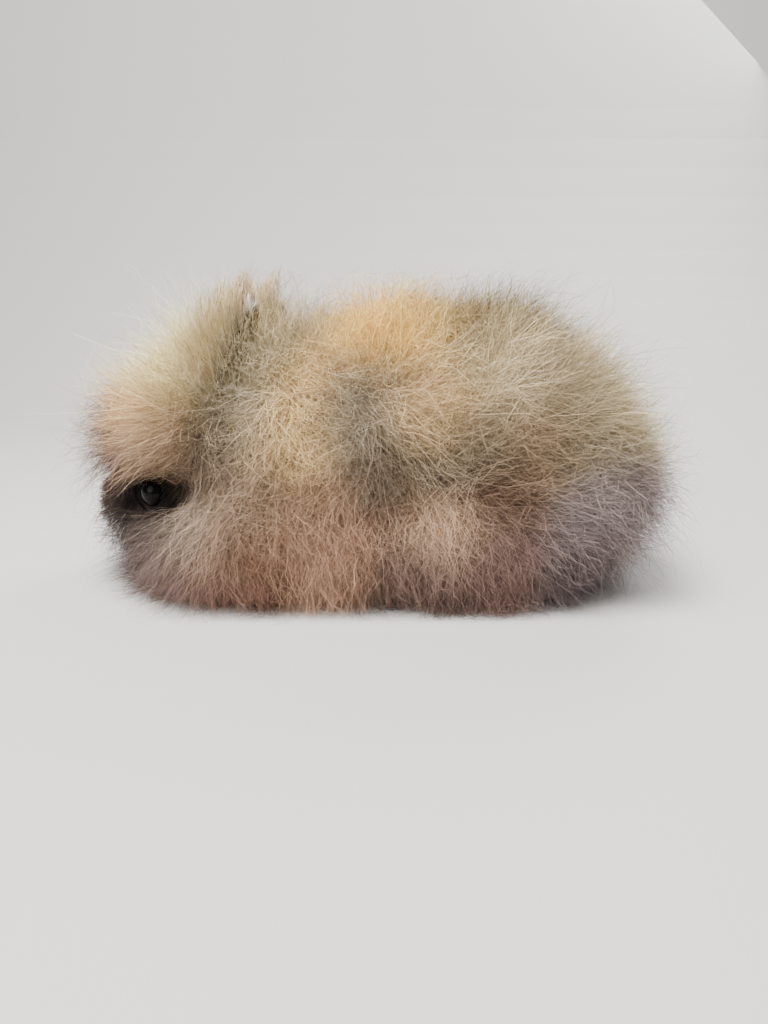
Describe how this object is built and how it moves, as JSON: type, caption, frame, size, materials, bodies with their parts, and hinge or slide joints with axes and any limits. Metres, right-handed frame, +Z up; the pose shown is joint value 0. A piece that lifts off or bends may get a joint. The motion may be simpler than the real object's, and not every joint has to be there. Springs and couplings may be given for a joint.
{
  "type": "lionhead rabbit model",
  "caption": "Life-size still model of a lionhead rabbit resting with its feet tucked under, long wool mane, ears laid up and back.",
  "frame": {"origin": "on the floor plane, at the middle of the flat underside of the belly", "axes": "+X from the nose to the tail, +Y from the left side to the right side, +Z up from the floor to the back"},
  "size_m": [0.2886, 0.1395, 0.1493],
  "materials": {
    "mane": "long soft wool, cream and fawn over grey",
    "coat": "soft coat, gold and grey-brown",
    "ear": "short grey fur over thin skin",
    "eye": "wet dark brown",
    "foot": "short dense fur"
  },
  "bodies": {
    "root": {"head": "mane", "neck": "mane", "torso": "coat", "tail": "coat", "ear_left": "ear", "ear_right": "ear", "eye_left": "eye", "eye_right": "eye", "foreleg_left": "foot", "foreleg_right": "foot", "hindleg_left": "coat", "hindleg_right": "coat"}
  },
  "joints": []
}
